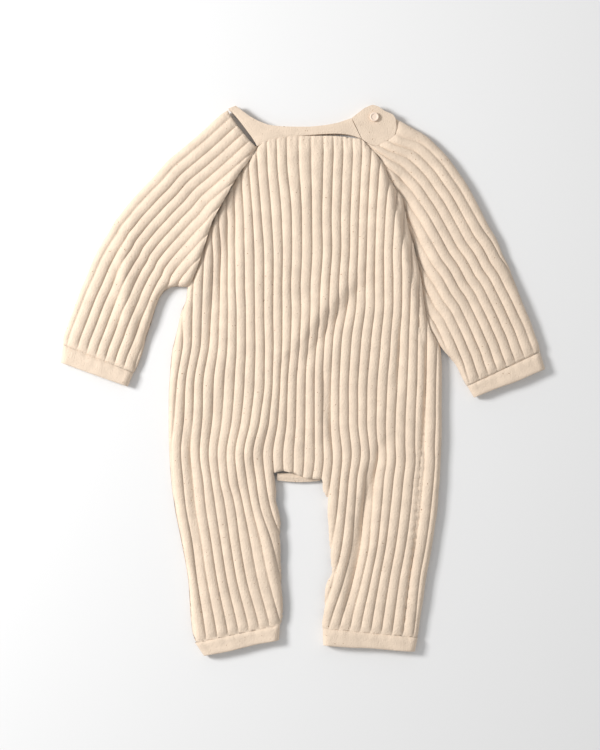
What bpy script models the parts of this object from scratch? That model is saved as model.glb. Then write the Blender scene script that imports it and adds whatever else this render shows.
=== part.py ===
"""Baby romper in wide rib knit, laid flat on its back.

Sizes in the tables are millimetres, in the garment's own plan: X to the wearer's
left, Y towards the neck, Z up from the surface that it lies on. The front layer
lies on the back layer, and both have the same cut.
"""

import math

import bpy
from mathutils import Vector

MM = 0.001

WALL = 2.2          # thickness of the rib knit
BAND_WALL = 2.6     # neckband, sewn double
TOP = 8.4           # height of the front layer where nothing lifts it
SEAM_Z = 4.2        # height of the side seams and of the folded sleeve edge
ROLL = 8.0          # width of the rounded side edge
SEAM_GAP = 0.3      # room left between two pieces along a seam
BAND_GAP = 0.7      # the same between the neckband and the bowed neck seam
EDGE_INSET = 0.25   # each piece's share of the room at a raglan seam
SLEEVE_STEPS = 9    # even steps across each layer of a sleeve or cuff
CENTRE = (0.45, 0.1)  # middle of the laid garment, moved to the origin

# Distances from a rounded edge at which the surface is given a point.
OUTER_STEPS = (0.0, 1.2, 4.0, 8.0)
INNER_STEPS = (0.0, 0.8, 2.8, 5.8)

BUTTON_RADIUS = 4.2
BUTTON_HEIGHT = 2.4
BUTTON_AT = (67.0, 244.6)

# Body, from the neck to the crotch. Each row crosses the body from the wearer's
# right edge to the left edge. "roll" is 0 at a raglan seam and 1 at a side seam.
BODY_COLUMNS = ("right_x", "right_y", "right_roll", "left_x", "left_y", "left_roll", "bow")
BODY = (
    (-42.0, 216.7, 0.0, 54.9, 224.1, 0.0, 7.0),
    (-49.3, 203.7, 0.0, 67.0, 210.2, 0.0, 5.0),
    (-59.5, 186.9, 0.0, 78.1, 193.4, 0.0, 3.0),
    (-70.7, 169.3, 0.0, 87.4, 177.6, 0.0, 2.0),
    (-80.9, 151.6, 0.0, 93.9, 163.7, 0.0, 1.0),
    (-87.4, 133.9, 0.0, 97.2, 147.9, 0.0, 0.0),
    (-93.0, 113.5, 0.4, 101.4, 131.1, 0.0, 0.0),
    (-104.2, 88.4, 1.0, 106.0, 112.5, 0.0, 0.0),
    (-107.9, 72.5, 1.0, 110.7, 91.1, 0.0, 0.0),
    (-112.5, 58.6, 1.0, 114.4, 70.7, 0.0, 0.0),
    (-115.3, 47.4, 1.0, 119.0, 53.9, 0.4, 0.0),
    (-117.6, 37.2, 1.0, 125.6, 36.3, 1.0, 0.0),
    (-120.4, 23.3, 1.0, 128.8, 19.5, 1.0, 0.0),
    (-122.8, 0.9, 1.0, 129.3, -0.9, 1.0, 0.0),
    (-123.2, -22.3, 1.0, 129.3, -23.3, 1.0, 0.0),
    (-123.2, -45.6, 1.0, 129.3, -46.5, 1.0, 0.0),
    (-122.3, -66.0, 1.0, 128.8, -67.9, 1.0, 0.0),
    (-121.4, -84.6, 1.0, 127.4, -86.5, 1.0, 0.0),
)
CROTCH = (0.390, 0.561)     # where the legs part, as shares of the last body row
RIGHT_UNDERARM_ROW = 7
LEFT_UNDERARM_ROW = 11

# Legs, from the crotch to the seam of the leg cuff, then the cuff's hem.
LEG_COLUMNS = ("outer_x", "outer_y", "inner_x", "inner_y")
RIGHT_LEG = (
    (-120.0, -101.4, -23.2, -101.4),
    (-117.6, -115.3, -22.3, -115.3),
    (-115.3, -129.3, -20.9, -129.3),
    (-113.0, -147.9, -20.5, -147.9),
    (-110.2, -166.5, -20.0, -166.5),
    (-107.9, -185.1, -19.1, -184.1),
    (-105.1, -203.7, -18.1, -199.0),
    (-102.8, -222.3, -17.9, -211.0),
    (-100.0, -239.9, -19.1, -222.3),
)
RIGHT_LEG_HEM = (-95.8, -255.8, -19.5, -239.0)
LEFT_LEG = (
    (126.0, -101.4, 19.1, -101.4),
    (125.6, -110.7, 22.3, -110.7),
    (124.6, -120.0, 25.6, -120.0),
    (121.8, -138.6, 26.5, -138.6),
    (119.5, -157.2, 26.5, -157.2),
    (116.7, -175.8, 25.6, -175.8),
    (113.9, -194.4, 22.3, -194.4),
    (111.1, -208.3, 20.9, -208.3),
    (107.4, -235.3, 19.5, -229.7),
)
LEFT_LEG_HEM = (105.1, -251.1, 20.5, -245.5)

# Sleeves. Head rows start on the raglan seam, which the body table gives, so they
# hold the folded edge only. Arm rows run from the underarm seam to the folded edge.
RIGHT_HEAD_COLUMNS = ("fold_x", "fold_y", "bow")
RIGHT_HEAD = (
    (-68.8, 252.0, -1.5),
    (-82.8, 240.9, -1.0),
    (-96.7, 229.7, 0.0),
    (-110.7, 217.6, 0.0),
    (-124.6, 204.6, 0.0),
    (-137.6, 191.6, 0.0),
    (-147.0, 181.0, 0.0),
    (-154.0, 172.0, 0.0),
)
LEFT_HEAD = (
    (87.4, 243.7, 14.0),
    (97.7, 238.1, 10.0),
    (109.7, 229.7, 7.0),
    (122.8, 219.5, 4.0),
    (134.9, 208.3, 2.0),
    (146.0, 195.3, 1.0),
    (157.2, 178.6, 0.0),
    (167.4, 159.0, 0.0),
    (177.6, 134.9, 0.0),
    (186.9, 112.5, 0.0),
    (192.5, 99.5, 0.0),
    (197.2, 88.4, 0.0),
)
ARM_COLUMNS = ("seam_x", "seam_y", "fold_x", "fold_y")
RIGHT_ARM = (
    (-113.5, 86.5, -165.5, 155.3),
    (-123.7, 83.0, -177.6, 133.9),
    (-133.0, 77.2, -187.9, 113.5),
    (-139.5, 62.3, -197.2, 92.1),
    (-143.2, 45.6, -206.5, 67.9),
    (-147.0, 27.9, -214.8, 45.6),
    (-154.4, 6.0, -220.9, 28.4),
)
RIGHT_SLEEVE_HEM = (-159.0, -4.7, -225.1, 17.7)
LEFT_ARM = (
    (134.9, 27.9, 203.7, 72.5),
    (143.2, 15.8, 210.2, 55.8),
    (149.7, 4.7, 216.7, 40.0),
    (154.7, -4.5, 222.3, 20.8),
)
LEFT_SLEEVE_HEM = (160.9, -14.9, 226.0, 9.3)

# Neck edge of the bands.
FRONT_NECK_EDGE = (
    (-61.4, 255.3),
    (-54.9, 250.2),
    (-48.4, 245.5),
    (-41.9, 241.8),
    (-35.3, 239.0),
    (-29.8, 237.2),
    (-20.5, 236.2),
    (-6.5, 235.8),
    (7.4, 235.8),
    (21.4, 237.2),
    (33.5, 239.5),
    (45.6, 243.7),
)
SIDE_NECK_EDGE = (
    (46.3, 244.1),
    (51.2, 247.9),
    (57.7, 253.0),
    (65.1, 256.2),
    (70.7, 254.8),
    (76.3, 250.6),
    (84.0, 247.3),
)

# The largest folds of the front layer: straight ridges and troughs.
FOLD_COLUMNS = ("x0", "y0", "x1", "y1", "width", "height")
FOLDS = (
    (54.0, 89.0, -2.0, 19.5, 5.0, -2.2),
    (44.0, 97.0, -12.0, 30.0, 7.0, 1.6),
    (-72.0, 177.0, -108.0, 45.0, 9.0, -1.6),
    (62.0, -62.0, 58.0, -150.0, 7.0, -2.4),
    (58.0, -150.0, 46.0, -205.0, 7.0, -1.6),
    (78.0, -70.0, 76.0, -140.0, 8.0, 1.6),
    (-46.0, -30.0, -40.0, -78.0, 14.0, 1.8),
    (96.0, 170.0, 122.0, 42.0, 7.0, -2.2),
    (-112.0, -30.0, -110.0, -125.0, 5.0, -1.8),
    (-168.0, 100.0, -160.0, 54.0, 9.0, 1.8),
    (-160.0, 118.0, -180.0, 96.0, 6.0, -1.6),
    (120.0, 190.0, 190.0, 40.0, 6.0, -1.4),
    (-100.0, -150.0, -88.0, -245.0, 5.0, -1.6),
)

CREAM_RIB = ("cream rib knit", (0.80, 0.66, 0.52), 0.95)
CREAM_PLAIN = ("cream plain knit", (0.78, 0.62, 0.48), 0.95)
CREAM_BUTTON = ("cream button", (0.82, 0.66, 0.50), 0.45)


def remove_scene_objects():
    """Empty the scene that the script runs in."""
    for item in list(bpy.data.objects):
        bpy.data.objects.remove(item, do_unlink=True)


def principled(spec):
    """Material with a name, colour and roughness; nothing here is metal."""
    name, colour, roughness = spec
    material = bpy.data.materials.get(name) or bpy.data.materials.new(name)
    material.use_nodes = True
    shader = material.node_tree.nodes["Principled BSDF"]
    shader.inputs["Base Color"].default_value = (*colour, 1.0)
    shader.inputs["Roughness"].default_value = roughness
    shader.inputs["Metallic"].default_value = 0.0
    return material


def add_solid(name, points, faces, spec):
    """One closed solid, given in millimetres, as a named object."""
    mesh = bpy.data.meshes.new(name)
    placed = [
        ((x - CENTRE[0]) * MM, (y - CENTRE[1]) * MM, z * MM) for x, y, z in points
    ]
    mesh.from_pydata(placed, [], faces)
    mesh.update()
    mesh.materials.append(principled(spec))
    item = bpy.data.objects.new(name, mesh)
    bpy.context.scene.collection.objects.link(item)
    return item


def fold_height(x, y):
    """Rise or fall of the front layer at a place, from the table of folds."""
    total = 0.0
    for row in FOLDS:
        fold = dict(zip(FOLD_COLUMNS, row))
        ax, ay = fold["x0"], fold["y0"]
        dx, dy = fold["x1"] - ax, fold["y1"] - ay
        along = ((x - ax) * dx + (y - ay) * dy) / (dx * dx + dy * dy)
        held = min(max(along, 0.0), 1.0)
        away = math.hypot(x - ax - held * dx, y - ay - held * dy)
        total += fold["height"] * math.exp(-((away / fold["width"]) ** 2))
    return min(max(total, -2.6), 3.0)


def rounded(distance, width):
    """Quarter-round profile: 0 at the edge and 1 at the given width."""
    share = min(max(distance / width, 0.0), 1.0)
    return math.sqrt(max(0.0, 1.0 - (1.0 - share) ** 2))


class Section:
    """A line across the garment, from one edge to the other."""

    def __init__(self, start, end, start_roll, end_roll, bow=0.0, inset=(0.0, 0.0)):
        self.start = Vector((start[0], start[1]))
        self.end = Vector((end[0], end[1]))
        across = (self.end - self.start).normalized()
        self.start += across * inset[0]
        self.end -= across * inset[1]
        self.length = (self.end - self.start).length
        self.across = across
        self.side = Vector((-across.y, across.x))
        self.start_roll = start_roll
        self.end_roll = end_roll
        self.bow = bow

    def place(self, distance):
        """Plan position at a distance from the start."""
        share = distance / self.length
        lift = self.bow * (1.0 - (2.0 * share - 1.0) ** 4)
        return self.start + self.across * distance + self.side * lift

    def stations(self, inner, middle):
        """Distances from the start: close at both edges, even between them."""
        start_in = WALL * self.start_roll if inner else 0.0
        end_in = WALL * self.end_roll if inner else 0.0
        near = self.edge_steps(start_in)
        far = self.edge_steps(end_in)
        first = near[-1]
        last = self.length - far[-1]
        between = [first + (last - first) * i / middle for i in range(1, middle)]
        return near + between + [self.length - step for step in reversed(far)]

    def edge_steps(self, inset):
        """Points of a rounded edge, moved in by the wall on its inner face."""
        share = inset / WALL
        return [
            inset + outer + (inner - outer) * share
            for outer, inner in zip(OUTER_STEPS, INNER_STEPS)
        ]

    def fade(self, distance, inner):
        """Height between edge (0) and middle (1), and the edge heights' shares."""
        start_in = WALL * self.start_roll if inner else 0.0
        end_in = WALL * self.end_roll if inner else 0.0
        near = rounded(distance - start_in, ROLL - start_in)
        far = rounded(self.length - distance - end_in, ROLL - end_in)
        drop_near = self.start_roll * (1.0 - near)
        drop_far = self.end_roll * (1.0 - far)
        return drop_near, drop_far

    def layer(self, inner, upper, middle, folds=True):
        """Points of one face of one layer along this section."""
        points = []
        for distance in self.stations(inner, middle):
            spot = self.place(distance)
            near, far = self.fade(distance, inner)
            drop = max(near, far)
            if upper:
                crest = TOP + (fold_height(spot.x, spot.y) if folds else 0.0) * (1.0 - drop)
                base = crest - (WALL if inner else 0.0)
                height = base + (SEAM_Z - base) * drop
            else:
                base = WALL if inner else 0.0
                height = base + (SEAM_Z - base) * drop
            points.append((spot.x, spot.y, height))
        return points


def row_points(table, columns):
    """Rows of a table as dictionaries keyed by the column names."""
    return [dict(zip(columns, row)) for row in table]


def body_sections():
    """Sections of the front or back body, neck first."""
    sections = []
    for row in row_points(BODY, BODY_COLUMNS):
        start = (row["right_x"], row["right_y"])
        end = (row["left_x"], row["left_y"])
        inset = (
            EDGE_INSET * (1.0 - row["right_roll"]),
            EDGE_INSET * (1.0 - row["left_roll"]),
        )
        sections.append(
            Section(start, end, row["right_roll"], row["left_roll"], row["bow"], inset)
        )
    return sections


def leg_sections(table):
    """Sections of one leg, crotch first."""
    return [
        Section((row["outer_x"], row["outer_y"]), (row["inner_x"], row["inner_y"]), 1.0, 1.0)
        for row in row_points(table, LEG_COLUMNS)
    ]


def split_body_row(section):
    """A body section as right-leg part, crotch part and left-leg part."""
    right_end = section.place(section.length * CROTCH[0])
    left_end = section.place(section.length * CROTCH[1])
    return right_end, left_end


def panel_grid(inner, upper, middle, centre):
    """Rows of points for a body panel: body rows, then each leg's rows."""
    body = []
    for section in body_sections():
        near = section.edge_steps(WALL * section.start_roll if inner else 0.0)
        far = section.edge_steps(WALL * section.end_roll if inner else 0.0)
        right_end = section.length * CROTCH[0]
        left_end = section.length * CROTCH[1]
        stops = list(near)
        stops += spread(near[-1], right_end - OUTER_STEPS[-1], middle)[1:]
        stops += [right_end - step for step in reversed(OUTER_STEPS[:-1])]
        stops += spread(right_end, left_end, centre)[1:-1]
        stops += [left_end + step for step in OUTER_STEPS]
        stops += spread(left_end + OUTER_STEPS[-1], section.length - far[-1], middle)[1:]
        stops += [section.length - step for step in reversed(far[:-1])]
        body.append(points_at(section, stops, inner, upper))
    right = [
        section.layer(inner, upper, middle) for section in leg_sections(RIGHT_LEG)
    ]
    left = [
        list(reversed(section.layer(inner, upper, middle)))
        for section in leg_sections(LEFT_LEG)
    ]
    return body, right, left


def spread(first, last, count):
    """Evenly spaced values, both ends included."""
    return [first + (last - first) * i / count for i in range(count + 1)]


def points_at(section, stops, inner, upper):
    """Points of one face of one layer at given distances along a section."""
    points = []
    for distance in stops:
        spot = section.place(distance)
        near, far = section.fade(distance, inner)
        drop = max(near, far)
        base = WALL if inner else 0.0
        if upper:
            base = TOP + fold_height(spot.x, spot.y) * (1.0 - drop) - base
        points.append((spot.x, spot.y, base + (SEAM_Z - base) * drop))
    return points


def stitch(grid, closed=False):
    """Quads between neighbouring rows of index lists."""
    faces = []
    for first, second in zip(grid, grid[1:]):
        count = len(first) if closed else len(first) - 1
        for i in range(count):
            j = (i + 1) % len(first)
            faces.append((first[i], second[i], second[j], first[j]))
    return faces


class Shell:
    """Collects an outer and an inner face with the same layout and closes them."""

    def __init__(self):
        self.outer = []
        self.inner = []
        self.faces = []

    def add_row(self, outer, inner):
        """One row of matching points; gives their numbers."""
        start = len(self.outer)
        self.outer += outer
        self.inner += inner
        return list(range(start, start + len(outer)))

    def closed_solid(self):
        """Points and faces of the wall between the two faces."""
        count = len(self.outer)
        faces = list(self.faces)
        faces += [tuple(reversed([i + count for i in face])) for face in self.faces]
        edges = {}
        for face in self.faces:
            for a, b in zip(face, face[1:] + face[:1]):
                edges[(a, b)] = True
        for a, b in edges:
            if (b, a) not in edges:
                faces.append((b, a, a + count, b + count))
        return self.outer + self.inner, faces


def oriented(points, faces):
    """Faces turned so that the solid's volume is positive."""
    volume = 0.0
    for face in faces:
        first = Vector(points[face[0]])
        for b, c in zip(face[1:], face[2:]):
            volume += first.dot(Vector(points[b]).cross(Vector(points[c])))
    return faces if volume > 0 else [tuple(reversed(face)) for face in faces]


def build_panel(name, upper, middle, centre):
    """Front or back panel: body and both legs in one piece."""
    outer = panel_grid(False, upper, middle, centre)
    inner = panel_grid(True, upper, middle, centre)
    lift = SEAM_GAP / 2 if upper else -SEAM_GAP / 2
    shell = Shell()
    body_rows = [
        shell.add_row(raised(a, lift, upper), raised(b, lift, upper))
        for a, b in zip(outer[0], inner[0])
    ]
    right_rows = [
        shell.add_row(raised(a, lift, upper), raised(b, lift, upper))
        for a, b in zip(outer[1], inner[1])
    ]
    left_rows = [
        shell.add_row(raised(a, lift, upper), raised(b, lift, upper))
        for a, b in zip(outer[2], inner[2])
    ]
    count = len(right_rows[0])
    shell.faces += stitch(body_rows)
    shell.faces += stitch([body_rows[-1][:count]] + right_rows)
    shell.faces += stitch([body_rows[-1][-count:]] + left_rows)
    points, faces = shell.closed_solid()
    return add_solid(name, points, oriented(points, faces), CREAM_RIB)


def raised(points, lift, upper):
    """Points near the seam height moved apart, so front and back leave room."""
    moved = []
    for x, y, z in points:
        if upper:
            z = max(z, SEAM_Z + lift)
        else:
            z = min(z, SEAM_Z + lift)
        moved.append((x, y, z))
    return moved


def ring(section, middle, joined):
    """A row of a flattened tube: front layer outwards, back layer home again."""
    rows = []
    for inner in (False, True):
        top = section.layer(inner, True, middle)
        bottom = section.layer(inner, False, middle)
        row = top + list(reversed(bottom))[1:]
        rows.append(row[:-1] if joined else row)
    return rows


def build_sleeve(name, seam_points, head, arm, underarm_row, mirrored):
    """Raglan sleeve: open towards the body at its head, a flat tube below."""
    shell = Shell()
    rows = []
    for number, (fold_x, fold_y, bow) in enumerate(head):
        roll = 0.0
        if number == underarm_row:
            roll = 1.0
        elif number == underarm_row - 1:
            roll = 0.4
        section = Section(
            seam_points[number],
            (fold_x, fold_y),
            roll,
            1.0,
            -bow if mirrored else bow,
            (EDGE_INSET * (1.0 - roll) + (0.5 if roll == 1.0 else 0.0), 0.0),
        )
        outer, inner = ring(section, SLEEVE_STEPS, False)
        if number == underarm_row:
            numbers = shell.add_row(outer[:-1], inner[:-1])
            rows.append(numbers + [numbers[0]])
        else:
            rows.append(shell.add_row(outer, inner))
    for row in row_points(arm, ARM_COLUMNS):
        section = Section(
            (row["seam_x"], row["seam_y"]), (row["fold_x"], row["fold_y"]), 1.0, 1.0
        )
        outer, inner = ring(section, SLEEVE_STEPS, True)
        numbers = shell.add_row(outer, inner)
        rows.append(numbers + [numbers[0]])
    shell.faces += stitch(rows)
    points, faces = shell.closed_solid()
    return add_solid(name, points, oriented(points, faces), CREAM_RIB)


def build_cuff(name, top_row, hem_row, flip):
    """Plain-knit cuff: a narrow flattened ring sewn below its seam."""
    near = Section(top_row[:2], top_row[2:], 1.0, 1.0)
    far = Section(hem_row[:2], hem_row[2:], 1.0, 1.0)
    down = (far.start + far.end - near.start - near.end).normalized() * SEAM_GAP
    shell = Shell()
    rows = []
    for share in (0.0, 0.5, 1.0):
        start = near.start.lerp(far.start, share) + down * (1.0 - share)
        end = near.end.lerp(far.end, share) + down * (1.0 - share)
        outer, inner = ring(Section(start, end, 1.0, 1.0), SLEEVE_STEPS, True)
        numbers = shell.add_row(outer, inner)
        rows.append(numbers + [numbers[0]])
    shell.faces += stitch(rows)
    points, faces = shell.closed_solid()
    return add_solid(name, points, oriented(points, faces), CREAM_PLAIN)


def path_shares(path):
    """Each point's share of the way along its path."""
    lengths = [0.0]
    for a, b in zip(path, path[1:]):
        lengths.append(lengths[-1] + (b - a).length)
    return [length / lengths[-1] for length in lengths]


def along(points, shares):
    """Points at given shares of the way along a path."""
    path = [Vector(point) for point in points]
    marks = path_shares(path)
    placed = []
    for share in shares:
        step = next(k for k in range(1, len(path)) if marks[k] >= share - 1e-9)
        part = (share - marks[step - 1]) / (marks[step] - marks[step - 1])
        placed.append(path[step - 1].lerp(path[step], min(max(part, 0.0), 1.0)))
    return placed


def clear_of(seams, necks):
    """Seam points moved squarely off the seam, towards the neck edge."""
    moved = []
    last = len(seams) - 1
    for i, seam in enumerate(seams):
        run = (seams[min(i + 1, last)] - seams[max(i - 1, 0)]).normalized()
        square = Vector((-run.y, run.x))
        if square.dot(necks[i] - seam) < 0.0:
            square = -square
        moved.append(seam + square * BAND_GAP)
    return moved


def build_band(name, garment_edge, neck_edge, low, high, spec, crown):
    """Neckband strip between the garment's neck seam and the neck edge."""
    seams = [Vector(point[:2]) for point in garment_edge]
    necks = along(neck_edge, path_shares(seams))
    shell = Shell()
    rows = []
    for start, neck in zip(clear_of(seams, necks), necks):
        outer = []
        inner = []
        for share in (0.0, 0.25, 0.75, 1.0):
            spot = start.lerp(neck, share)
            rise = crown if 0.0 < share < 1.0 else 0.0
            outer.append((spot.x, spot.y, high + rise))
            inner.append((spot.x, spot.y, low))
        rows.append(shell.add_row(outer, inner))
    shell.faces += stitch(rows)
    points, faces = shell.closed_solid()
    return add_solid(name, points, oriented(points, faces), spec)


def head_row_points(seam_point, head_row, mirrored):
    """Plan points of a sleeve's top row, from the raglan seam to the fold."""
    fold_x, fold_y, bow = head_row
    section = Section(seam_point, (fold_x, fold_y), 0.0, 1.0, -bow if mirrored else bow)
    return [section.place(distance) for distance in section.stations(False, SLEEVE_STEPS)]


def build_gusset():
    """Small turned strip that joins the legs at the centre of the crotch."""
    last = body_sections()[-1]
    first = last.place(last.length * CROTCH[0] + 1.2)
    final = last.place(last.length * CROTCH[1] - 1.2)
    shell = Shell()
    rows = []
    for share in spread(0.0, 1.0, 4):
        spot = first.lerp(final, share)
        hang = 7.0 + 1.5 * math.sin(math.pi * share)
        rows.append(
            shell.add_row(
                [
                    (spot.x, spot.y - SEAM_GAP, 5.0),
                    (spot.x, spot.y - hang * 0.5, 5.6),
                    (spot.x, spot.y - hang, 4.4),
                ],
                [
                    (spot.x, spot.y - SEAM_GAP, 2.4),
                    (spot.x, spot.y - hang * 0.5, 2.6),
                    (spot.x, spot.y - hang, 1.8),
                ],
            )
        )
    shell.faces += stitch(rows)
    points, faces = shell.closed_solid()
    return add_solid("crotch_gusset", points, oriented(points, faces), CREAM_PLAIN)


def build_button():
    """Round button with a raised rim, lying on the neckband's end."""
    base = TOP + 0.4 + SEAM_GAP
    profile = (
        (0.82, 0.0),
        (1.0, 0.35),
        (1.0, 0.75),
        (0.88, 1.0),
        (0.70, 0.95),
        (0.55, 0.72),
    )
    steps = 24
    points = []
    rows = []
    for radius, height in profile:
        start = len(points)
        for i in range(steps):
            turn = 2.0 * math.pi * i / steps
            points.append(
                (
                    BUTTON_AT[0] + BUTTON_RADIUS * radius * math.cos(turn),
                    BUTTON_AT[1] + BUTTON_RADIUS * radius * math.sin(turn),
                    base + BUTTON_HEIGHT * height,
                )
            )
        rows.append(list(range(start, start + steps)))
    faces = stitch(rows, closed=True)
    faces.append(tuple(rows[0]))
    faces.append(tuple(reversed(rows[-1])))
    return add_solid("neck_button", points, oriented(points, faces), CREAM_BUTTON)


def main():
    """Build every piece and lay it in place."""
    remove_scene_objects()
    build_panel("front_panel", True, 5, 4)
    build_panel("back_panel", False, 4, 3)

    body = row_points(BODY, BODY_COLUMNS)
    right_seam = [(row["right_x"], row["right_y"]) for row in body]
    left_seam = [(row["left_x"], row["left_y"]) for row in body]
    build_sleeve("sleeve_right", right_seam, RIGHT_HEAD, RIGHT_ARM, RIGHT_UNDERARM_ROW, False)
    build_sleeve("sleeve_left", left_seam, LEFT_HEAD, LEFT_ARM, LEFT_UNDERARM_ROW, True)

    build_cuff("cuff_sleeve_right", RIGHT_ARM[-1], RIGHT_SLEEVE_HEM, False)
    build_cuff("cuff_sleeve_left", LEFT_ARM[-1], LEFT_SLEEVE_HEM, False)
    build_cuff("cuff_leg_right", RIGHT_LEG[-1], RIGHT_LEG_HEM, False)
    build_cuff("cuff_leg_left", LEFT_LEG[-1], LEFT_LEG_HEM, False)

    neck = body_sections()[0]
    front_edge = [neck.place(neck.length * i / 20) for i in range(21)]
    right_arm = head_row_points(right_seam[0], RIGHT_HEAD[0], False)
    left_arm = head_row_points(left_seam[0], LEFT_HEAD[0], True)
    front_line = list(reversed(right_arm)) + front_edge[1:]
    high = TOP + 0.2
    low = high - BAND_WALL
    build_band("neckband_front", front_line, FRONT_NECK_EDGE, low, high, CREAM_PLAIN, 0.4)
    build_band("neckband_side", left_arm, SIDE_NECK_EDGE, low, high, CREAM_PLAIN, 0.2)
    back_line = front_line + left_arm[1:]
    back_neck = FRONT_NECK_EDGE + SIDE_NECK_EDGE
    build_band("neckband_back", back_line, back_neck, 0.0, BAND_WALL, CREAM_PLAIN, 0.0)

    build_gusset()
    build_button()


main()
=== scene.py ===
"""Baby romper in cream wide rib knit, laid flat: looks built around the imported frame."""

import math

import bmesh
import bpy
import numpy as np
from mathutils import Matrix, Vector


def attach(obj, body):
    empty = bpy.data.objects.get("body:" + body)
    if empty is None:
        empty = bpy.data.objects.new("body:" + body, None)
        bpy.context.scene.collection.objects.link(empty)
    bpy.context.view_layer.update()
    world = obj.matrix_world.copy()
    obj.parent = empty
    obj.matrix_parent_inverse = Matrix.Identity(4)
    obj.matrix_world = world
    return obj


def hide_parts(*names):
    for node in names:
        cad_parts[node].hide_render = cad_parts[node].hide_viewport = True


bl_info = {
    "name": "Rib Knit Romper",
    "version": (1, 0, 0),
    "blender": (4, 5, 0),
    "location": "View3D > Sidebar > Romper",
    "description": "Builds a baby romper in wide rib knit, with cuffs, neckband and button",
    "category": "Add Mesh",
}

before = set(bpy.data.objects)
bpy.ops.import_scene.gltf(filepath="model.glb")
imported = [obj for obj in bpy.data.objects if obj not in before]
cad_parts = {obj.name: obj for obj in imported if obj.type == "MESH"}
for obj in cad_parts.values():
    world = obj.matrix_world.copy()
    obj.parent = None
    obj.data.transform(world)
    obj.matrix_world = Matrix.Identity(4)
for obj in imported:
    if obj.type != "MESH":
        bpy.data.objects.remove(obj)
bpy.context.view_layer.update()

MM = 0.001
CENTRE = (0.45, 0.1)    # middle of the laid garment, moved to the origin
SEAM_Z = 4.2            # height of the side seams and folded edges
ROLL = 8.0              # width of a rounded side edge
HEM_LIP = 0.0032        # metres the cloth turns down at an open edge
LIP_ABOVE = 0.0058      # metres; only edges of the upper layer turn down
LOWEST = 0.12           # lowest point of any cloth above the floor
TOP_LOWEST = 3.0        # lowest point of the upper layer
UNDER_RIB = 1.3         # depth of the ribs pressed against the floor
UNDER_LEVEL = 1.5       # level of the grooves of the lower layer

# Tables are in millimetres in the garment's own plan: X to the wearer's left, Y to
# the neck, Z up. "right" and "left" are the wearer's.

# Outer edges of the body: raglan seams first, then side seams.
BODY_EDGE_COLUMNS = ("y", "right_x", "left_x")
BODY_EDGES = (
    (240.0, -30.0, 40.0),
    (225.1, -38.1, 54.9),
    (216.7, -41.4, 62.3),
    (205.5, -48.4, 72.5),
    (194.4, -56.7, 78.1),
    (180.4, -65.1, 85.6),
    (168.3, -71.6, 93.5),
    (155.3, -79.0, 96.3),
    (142.3, -85.1, 98.6),
    (131.1, -88.4, 102.3),
    (114.4, -93.9, 106.0),
    (100.4, -99.0, 109.7),
    (85.6, -106.0, 111.6),
    (75.3, -107.0, 113.0),
    (64.2, -111.6, 114.9),
    (47.4, -115.3, 119.0),
    (36.3, -118.1, 125.6),
    (28.8, -120.0, 128.3),
    (10.2, -121.8, 129.3),
    (-17.7, -123.2, 129.3),
    (-45.6, -123.2, 129.3),
    (-64.2, -122.8, 128.8),
    (-82.8, -121.8, 127.9),
)
UNDERARM_Y = {"right": 88.0, "left": 40.0}

# Both edges of each leg, from the crotch down.
LEG_EDGE_COLUMNS = ("y", "right_outer", "right_inner", "left_inner", "left_outer")
LEG_EDGES = (
    (-82.8, -121.8, -27.0, 19.5, 127.9),
    (-92.1, -120.9, -26.0, 20.0, 127.4),
    (-101.4, -120.0, -25.1, 21.4, 126.5),
    (-110.7, -118.6, -26.0, 25.1, 126.0),
    (-121.8, -116.9, -23.2, 25.1, 125.1),
    (-133.9, -114.4, -21.4, 26.5, 123.2),
    (-152.5, -110.7, -21.4, 27.0, 120.4),
    (-166.5, -107.9, -21.4, 28.8, 118.1),
    (-177.6, -106.0, -20.5, 29.8, 115.8),
    (-189.7, -104.6, -20.0, 24.2, 113.9),
    (-203.7, -103.7, -19.5, 22.3, 112.1),
    (-217.6, -102.8, -19.5, 21.4, 109.7),
    (-231.6, -101.4, -20.5, 19.1, 107.9),
    (-245.0, -97.0, -21.4, 19.5, 106.0),
    (-259.5, -90.2, -21.4, 19.5, 105.1),
)

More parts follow.
